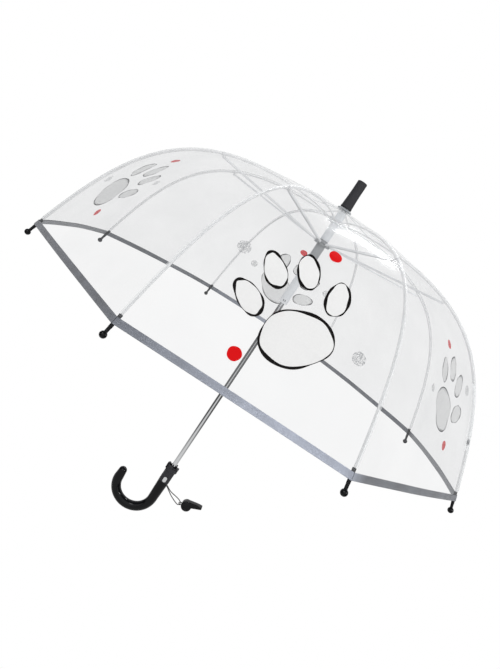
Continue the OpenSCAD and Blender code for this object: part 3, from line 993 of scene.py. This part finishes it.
@dataclass
class Print:
    """A plain paw mark of ovals with brushed outlines and a few dots, laid over a panel's film.

    The drawing has its own upright frame in millimetres, x to the right and y up. It is turned
    and set on the panel: a length along the panel's middle line and a length across it.
    """

    gore: Gore
    centre_s: float = 367.0
    centre_u: float = 3.0
    turn: float = math.radians(33.6)
    scale: float = 1.1
    layer: float = 0.05 * MM
    base: float = 0.9 * MM

    def on_panel(self, panel: int, x: Array, y: Array, layer: float) -> Array:
        """Put drawing points on the film, raised by their layer.

        Args:
            panel: the gore's number.
            x: places across the drawing.
            y: places up the drawing, the same shape.
            layer: place in the stack of inks.

        Returns:
            Array of points with one more axis.
        """
        c, s = math.cos(self.turn), math.sin(self.turn)
        u = (self.centre_u + self.scale * (x * c - y * s)) * MM
        down = (self.centre_s - self.scale * (x * s + y * c)) * MM
        v = 0.5 + u / (2 * self.gore.half_width(down))
        return self.gore.point(panel, down, v, self.base + layer * self.layer)

    @staticmethod
    def oval(x: float, y: float, rx: float, ry: float, tilt: float = 0.0, pinch: float = 0.0,
             wobble: float = 0.02, seed: float = 0.0) -> Array:
        """Trace a closed outline: an oval with a pinched end and a slightly uneven hand.

        Args:
            x: centre across.
            y: centre up.
            rx: half length.
            ry: half width.
            tilt: turn in degrees.
            pinch: how far the far end narrows, 0 to 1.
            wobble: size of the unevenness.
            seed: phase of the unevenness.

        Returns:
            Array (96, 2).
        """
        t = np.linspace(0, 2 * np.pi, 96, endpoint=False)
        uneven = 1 + wobble * (np.sin(3 * t + seed) + 0.6 * np.sin(5 * t + 2 * seed))
        a = rx * np.cos(t) * uneven
        b = ry * np.sin(t) * uneven * (1 - pinch * (1 + np.cos(t)) / 2)
        c, s = math.cos(math.radians(tilt)), math.sin(math.radians(tilt))
        return np.stack([x + a * c - b * s, y + a * s + b * c], -1)

    def fill(self, name: str, panel: int, outline: Array, layer: float, ink: Finish) -> bpy.types.Object:
        """Fill an outline: rings shrink from it to its middle point.

        Args:
            name: the piece's name.
            panel: the gore's number.
            outline: array (n, 2), in the drawing's frame.
            layer: its place in the stack of inks.
            ink: what it is printed in.

        Returns:
            The filled shape.
        """
        middle = outline.mean(0)
        rings = np.linspace(1.0, 0.0, 9) ** 0.9
        grid = middle + rings[:, None, None] * (outline - middle)
        points = self.on_panel(panel, grid[..., 0], grid[..., 1], layer)
        return ink.dress(add_grid(name, points, wrap_cols=True))

    def line(self, name: str, panel: int, path: Array, width: float, layer: float,
             seed: float = 0.0) -> bpy.types.Object:
        """Brush a closed line: a ribbon along the path whose width swells and thins.

        Args:
            name: the piece's name.
            panel: the gore's number.
            path: points round the line, in the drawing's frame.
            width: the line's usual width, in millimetres.
            layer: its place in the stack of inks.
            seed: phase of the swelling.

        Returns:
            The ribbon.
        """
        way = np.roll(path, -1, 0) - np.roll(path, 1, 0)
        way /= np.linalg.norm(way, axis=1, keepdims=True)
        side = np.stack([-way[:, 1], way[:, 0]], -1)
        t = np.linspace(0, 2 * np.pi, len(path), endpoint=False)
        swell = 0.62 + 0.38 * np.sin(2 * t + seed) + 0.16 * np.sin(7 * t + 3 * seed)
        half = 0.72 * width * swell.clip(0.2)[:, None]
        grid = np.stack([path - side * half, path + side * half])
        points = self.on_panel(panel, grid[..., 0], grid[..., 1], layer)
        return Finish.BLACK_INK.dress(add_grid(name, points, wrap_cols=True))

    def shapes(self) -> list[tuple[Array, Finish, float]]:
        """List the mark's shapes: a pad, four toes and a few dots.

        Returns:
            A list of (outline, ink, width). A width of 0 has no line.
        """
        oval, white, red = self.oval, Finish.WHITE_INK, Finish.RED_INK
        toes = [(-44, 12, 118), (-17, 40, 98), (17, 40, 82), (44, 12, 62)]
        dots = [(-58, -42, red), (60, -46, Finish.GREY_INK), (-46, 62, Finish.GREY_INK), (48, 60, red)]
        return [
            (oval(0, -28, 36, 27, 0, wobble=0.03, seed=2), white, 2.4),
            *((oval(x, y, 19, 12.5, tilt, 0.2, seed=x), white, 2.2) for x, y, tilt in toes),
            *((oval(x, y, 7, 7, seed=y), ink, 0) for x, y, ink in dots),
        ]

    def draw(self, panel: int) -> bpy.types.Object:
        """Draw the mark and join it into one piece.

        Args:
            panel: the gore's number.

        Returns:
            The print.
        """
        made: list[bpy.types.Object] = []
        for n, (outline, ink, width) in enumerate(self.shapes()):
            made.append(self.fill(f"shape_{n}", panel, outline, n, ink))
            if width:
                made.append(self.line(f"line_{n}", panel, outline, width, n + 0.5, n))
        return merge(f"paw_print_{panel}", made)

    def build(self, canopy: Canopy) -> None:
        """Print every other panel.

        Args:
            canopy: the film that it folds with.
        """
        for panel in range(1, RIBS + 1, 2):
            piece = self.draw(panel)
            canopy.fold_flat(piece, panel, False, Stretch.SKIRT)
            LOG.info("print on panel %d", panel)


# --------------------------------------------------------------------------------------
# Top, handle and whistle
# --------------------------------------------------------------------------------------


@dataclass
class Crown:
    """What sits on the shaft: hubs, ferrule cap and the crinkled washer under it."""

    washer_z: float = 503.1 * MM
    washer_h: float = 4.3 * MM
    washer_r: float = 11.6 * MM
    bore_r: float = 4.1 * MM
    pleats: int = 22
    coils: int = 60
    coil_r: float = 2.7 * MM
    coil_wire: float = 0.45 * MM
    coil_foot: float = 20 * MM
    coil_top: float = 431.1 * MM
    runner_travel: float = 344.1 * MM
    PLAIN_NODES: ClassVar[dict[Finish, tuple[str, ...]]] = {
        Finish.CHROME: ("shaft_tube", "push_button"),
        Finish.SATIN_BLACK: ("ferrule_cap", "handle_collar"),
        Finish.GLOSS_BLACK: ("handle_crook",),
        Finish.PALE_NYLON: ("top_notch", "runner_sleeve"),
        Finish.GREY_NYLON: ("runner_body",),
        Finish.STEEL: ("notch_wire", "runner_wire", "runner_pin", "latch", "strap_snap"),
        Finish.CORK: ("whistle_ball",),
    }

    def washer(self) -> bpy.types.Object:
        """Make the washer: a low cone whose radius and top wave round it in pleats.

        Returns:
            The washer.
        """
        turn = np.linspace(0, 2 * np.pi, 264, endpoint=False)
        share = np.array([0, 0, 0.1, 0.35, 0.7, 0.95, 1, 1, 0.95, 0.6, 0.2, 0, 0])
        height = np.array([0.5, 1, 1, 0.93, 0.72, 0.5, 0.42, 0.2, 0.05, 0, 0, 0, 0.5])
        wave = np.cos(self.pleats * turn) + 0.5 * np.sin(9 * turn + 1)
        r = self.bore_r + (self.washer_r - self.bore_r) * share[:, None] * (1 + 0.045 * wave[None])
        dip = 0.08 * share[:, None] * (1 - wave[None])
        z = self.washer_z + self.washer_h * height[:, None] * (1 - dip)
        points = np.stack([r * np.cos(turn), r * np.sin(turn), np.broadcast_to(z, r.shape)], -1)
        return Finish.CRINKLE.dress(add_grid("crinkled_washer", points, wrap_cols=True))

    def spring(self) -> bpy.types.Object:
        """Make the opening spring: a helix in the shaft, radius * (cos turn, sin turn) with even rise.

        Returns:
            The spring.
        """
        turn = np.linspace(0, 2 * np.pi * self.coils, 16 * self.coils + 1)
        rise = np.linspace(self.coil_foot + self.coil_wire, self.coil_top - self.coil_wire, len(turn))
        path = np.stack([self.coil_r * np.cos(turn), self.coil_r * np.sin(turn), rise], -1)
        piece = Finish.STEEL.dress(tube("opening_spring", path, self.coil_wire, 8, (0.0, 0.0, 1.0)))
        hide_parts("main_spring")
        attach(piece, "shaft")
        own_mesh(piece)
        return piece

    def build(self) -> None:
        """Make the spring and washer, and dress the shaft's own pieces."""
        self.spring()
        piece = self.washer()
        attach(piece, "shaft")
        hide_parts("rosette")
        for finish, nodes in self.PLAIN_NODES.items():
            for node in nodes:
                dress_node(node, finish)
        LOG.info("crown, shaft and handle dressed")


@dataclass
class Whistle:
    """The whistle and the looped cord that it hangs on."""

    at: tuple[float, float, float] = (55.5 * MM, 0.0, -45.6 * MM)
    tilt: float = math.radians(12)
    chamber_r: float = 9 * MM
    half_w: float = 6.5 * MM
    mouth: float = 26 * MM
    cord_d: float = 1.6 * MM
    route: tuple[tuple[float, float, float], ...] = (
        (9.3, 1, -35), (14, 1, -37.8), (19, 1, -40.4), (24, 1.2, -41.8), (30, 1.6, -43),
        (36, 1.8, -44.2), (41, 2.2, -46), (44.2, 2.2, -48), (44.9, 0, -49.2), (44.2, -2.2, -50.8),
        (41.5, -2.2, -52.2), (37.5, -1.8, -51.4), (33, -1.6, -49.6), (28.5, -1.4, -47.6),
        (24, -1.2, -45.4), (19, -1, -42.2), (14, -1, -38.8), (9.3, -1, -35.4),
    )

    def cord(self) -> bpy.types.Object:
        """Make the cord: one open spline, round in section, out of the handle and back.


        Returns:
            The cord.
        """
        curve = bpy.data.curves.new("whistle_cord_braided", "CURVE")
        curve.dimensions = "3D"
        curve.bevel_depth = self.cord_d / 2
        curve.bevel_resolution = 4
        curve.use_fill_caps = True
        spline = curve.splines.new("POLY")
        spline.points.add(len(self.route) - 1)
        points = np.c_[np.array(self.route) * MM, np.ones(len(self.route))]
        spline.points.foreach_set("co", points.astype(np.float32).ravel())
        piece = bpy.data.objects.new("whistle_cord_braided", curve)
        bpy.context.scene.collection.objects.link(piece)
        curve.materials.append(Finish.BRAID.material())
        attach(piece, "whistle")
        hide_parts("whistle_cord")
        return piece

    def placed(self, points: Array) -> Array:
        """Tilt points and move them to the whistle.

        Args:
            points: array (..., 3), x along the mouthpiece and z up.

        Returns:
            The moved points.
        """
        c, s = math.cos(self.tilt), math.sin(self.tilt)
        x, y, z = points[..., 0], points[..., 1], points[..., 2]
        return np.stack([x * c - z * s, y, x * s + z * c], -1) + np.array(self.at)

    def chamber(self) -> bpy.types.Object:
        """Make the round chamber: a turned drum with rounded edges and a raised ring on each side.

        Returns:
            The chamber.
        """
        shares = np.array([0, 0.55, 0.62, 0.66, 0.72, 0.78, 0.92, 0.98, 1])
        sides = np.array([0.93, 0.93, 0.99, 1, 0.99, 0.93, 0.92, 0.84, 0.7])
        x = np.concatenate([shares, shares[::-1]]) * self.chamber_r
        y = np.concatenate([-sides, sides[::-1]]) * self.half_w
        turn = np.linspace(0, 2 * np.pi, 72, endpoint=False)
        x = np.maximum(x, PINPOINT)
        drum = x[:, None] * np.cos(turn), y[:, None], x[:, None] * np.sin(turn)
        local = np.stack(np.broadcast_arrays(*drum), -1)
        return add_grid("chamber", self.placed(local), wrap_cols=True, flip=True)

    def mouthpiece(self) -> bpy.types.Object:
        """Make the mouthpiece: a rounded box section that thins towards its end.

        Returns:
            The mouthpiece.
        """
        root, end = 2 * MM, self.mouth
        x = np.array([root, 8 * MM, 12 * MM, 16 * MM, 20 * MM, 24 * MM, end - 0.4 * MM, end, end])
        low = np.interp(x, [root, end], [-2.0 * MM, 3.6 * MM])
        high = np.interp(x, [root, 18 * MM, end], [self.chamber_r, self.chamber_r, 8.0 * MM])
        wide = np.interp(x, [root, end], [6.3 * MM, 5.6 * MM])
        shrink = np.array([1, 1, 1, 1, 1, 1, 0.93, 0.82, 0.0001])
        t = np.linspace(0, 2 * np.pi, 48, endpoint=False)
        sx = np.sign(np.cos(t)) * np.abs(np.cos(t)) ** 0.35
        sz = np.sign(np.sin(t)) * np.abs(np.sin(t)) ** 0.35
        mid, half = (low + high) / 2, (high - low) / 2
        box = x[:, None], (wide * shrink)[:, None] * sx, mid[:, None] + (half * shrink)[:, None] * sz
        local = np.stack(np.broadcast_arrays(*box), -1)
        return add_grid("mouthpiece", self.placed(local), wrap_cols=True)

    def lug(self) -> bpy.types.Object:
        """Make the loop that holds the cord: a small ring beside the chamber.

        Returns:
            The loop.
        """
        t, p = np.meshgrid(np.linspace(0, 2 * np.pi, 40, endpoint=False),
                           np.linspace(0, 2 * np.pi, 14, endpoint=False), indexing="ij")
        ring_r, wire = 2.5 * MM, 0.75 * MM
        r = ring_r + wire * np.cos(p)
        local = np.stack([-11 * MM + r * np.cos(t), wire * np.sin(p), -1 * MM + r * np.sin(t)], -1)
        return add_grid("lug", self.placed(local), wrap_rows=True, wrap_cols=True)

    def build(self) -> None:
        """Make the shell and its cord."""
        shell = merge("whistle_shell", [self.chamber(), self.mouthpiece(), self.lug()])
        Finish.GLOSS_BLACK.dress(shell)
        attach(shell, "whistle")
        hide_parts("whistle_body")
        self.cord()
        LOG.info("whistle and cord")


# --------------------------------------------------------------------------------------
# Studio
# --------------------------------------------------------------------------------------


@dataclass
class Studio:
    """Camera, soft lights, white surroundings and a plain pale floor."""

    place: tuple[float, float, float] = (-0.0326, -0.8594, 0.3904)
    yaw: float = math.radians(-1.1462)
    pitch: float = math.radians(8.6055)
    roll: float = math.radians(33.6031)
    lens: float = 28.94

    def camera(self) -> None:
        """Set the camera from its yaw, pitch and roll."""
        level_share = math.cos(self.pitch)
        back = Vector((
            math.sin(self.yaw) * level_share, -math.cos(self.yaw) * level_share, math.sin(self.pitch),
        ))
        level = Vector((math.cos(self.yaw), math.sin(self.yaw), 0.0))
        rise = back.cross(level)
        right = math.cos(self.roll) * level + math.sin(self.roll) * rise
        up = -math.sin(self.roll) * level + math.cos(self.roll) * rise
        data = bpy.data.cameras.new("camera")
        data.lens = self.lens
        data.clip_start = 0.01
        camera = bpy.data.objects.new("camera", data)
        turn = Matrix((right, up, back)).transposed().to_4x4()
        camera.matrix_world = Matrix.Translation(self.place) @ turn
        bpy.context.scene.collection.objects.link(camera)
        bpy.context.scene.camera = camera

    def lights(self) -> None:
        """Hang three soft boxes."""
        for name, place, size, power in (
            ("key", (-0.9, -1.3, 1.5), 0.6, 8.0), ("side", (1.3, -0.7, 0.9), 0.2, 6.0),
            ("top", (0.2, 0.6, 1.7), 0.3, 8.0),
        ):
            data = bpy.data.lights.new(name, "AREA")
            data.size = size
            data.energy = power
            lamp = bpy.data.objects.new(name, data)
            lamp.location = place
            aim = Vector((0.0, 0.0, 0.4)) - Vector(place)
            lamp.rotation_euler = aim.to_track_quat("-Z", "Y").to_euler()
            bpy.context.scene.collection.objects.link(lamp)

    def surroundings(self) -> None:
        """White behind the object; what it mirrors is a soft grey gradient."""
        world = bpy.data.worlds.new("studio")
        bpy.context.scene.world = world
        world.use_nodes = True
        tree = world.node_tree
        shine = tree.nodes["Background"]
        coords = tree.nodes.new("ShaderNodeTexCoord")
        split = tree.nodes.new("ShaderNodeSeparateXYZ")
        ramp = tree.nodes.new("ShaderNodeValToRGB")
        stops = ramp.color_ramp.elements
        for place, grey in ((0.0, 1.0), (0.22, 0.95), (0.32, 0.04), (0.60, 0.05), (0.70, 0.8), (1.0, 1.0)):
            stop = stops.new(place) if 0 < place < 1 else stops[round(place)]
            stop.color = (grey, grey, 1.02 * grey, 1.0)
        level = tree.nodes.new("ShaderNodeMapRange")
        level.inputs["From Min"].default_value = -1.0
        path = tree.nodes.new("ShaderNodeLightPath")
        soft = tree.nodes.new("ShaderNodeBackground")
        soft.inputs["Color"].default_value = (0.78, 0.78, 0.79, 1)
        plain = tree.nodes.new("ShaderNodeBackground")
        plain.inputs["Color"].default_value = (1, 1, 1, 1)
        mirrored, seen = tree.nodes.new("ShaderNodeMixShader"), tree.nodes.new("ShaderNodeMixShader")
        links = (
            (coords.outputs["Generated"], split.inputs[0]), (split.outputs["Y"], level.inputs["Value"]),
            (level.outputs["Result"], ramp.inputs["Fac"]), (ramp.outputs["Color"], shine.inputs["Color"]),
            (path.outputs["Is Glossy Ray"], mirrored.inputs["Fac"]), (soft.outputs[0], mirrored.inputs[1]),
            (shine.outputs[0], mirrored.inputs[2]), (path.outputs["Is Camera Ray"], seen.inputs["Fac"]),
            (mirrored.outputs[0], seen.inputs[1]), (plain.outputs[0], seen.inputs[2]),
            (seen.outputs[0], tree.nodes["World Output"].inputs["Surface"]),
        )
        for one, two in links:
            tree.links.new(one, two)

    def floor(self) -> None:
        """A pale floor under the crook, bright enough to meet the white behind it."""
        half, height = 6.0, CAD_BOX[0][2] - 0.06
        corners = np.array([(-1, -1, 0), (1, -1, 0), (1, 1, 0), (-1, 1, 0)]) * half + (0, 0, height)
        piece = add_mesh("floor", corners, [[0, 1, 2, 3]])
        made = Recipe("pale_floor")
        made.set(Roughness=1.0, Specular_IOR_Level=0.0)
        made.set(Base_Color=(0, 0, 0, 1), Emission_Color=(1, 1, 1, 1))
        path = made.node("ShaderNodeLightPath").outputs
        split = made.node("ShaderNodeSeparateXYZ")
        made.link(made.coords.outputs["Object"], split.inputs[0])
        aside = made.span(made.maths("ABSOLUTE", split.outputs["X"], 0.0), 0.0, 0.6, 0.3, 0.7)
        dim = made.maths("MULTIPLY", path["Is Glossy Ray"], aside)
        glow = made.maths("SUBTRACT", made.span(path["Is Camera Ray"], 0.7, 1.0), dim)
        made.link(glow, made.shader.inputs["Emission Strength"])
        piece.data.materials.append(made.material)

    def build(self) -> None:
        """Set up the whole studio."""
        scene = bpy.context.scene
        scene.view_settings.view_transform = "Standard"
        self.camera()
        self.lights()
        self.surroundings()
        self.floor()
        scene.cycles.transparent_max_bounces = 32
        LOG.info("studio")


def main() -> None:
    """Build the umbrella's looks in order: studio and cord, canopy, ribs, print, top and handle."""
    logging.basicConfig(level=logging.INFO)
    Studio().build()
    Whistle().build()
    curve = RibCurve()
    canopy = Canopy(Gore(curve))
    canopy.build()
    Ribs(curve).build()
    Print(canopy.gore).build(canopy)
    Crown().build()


if __name__ == "__main__":
    main()
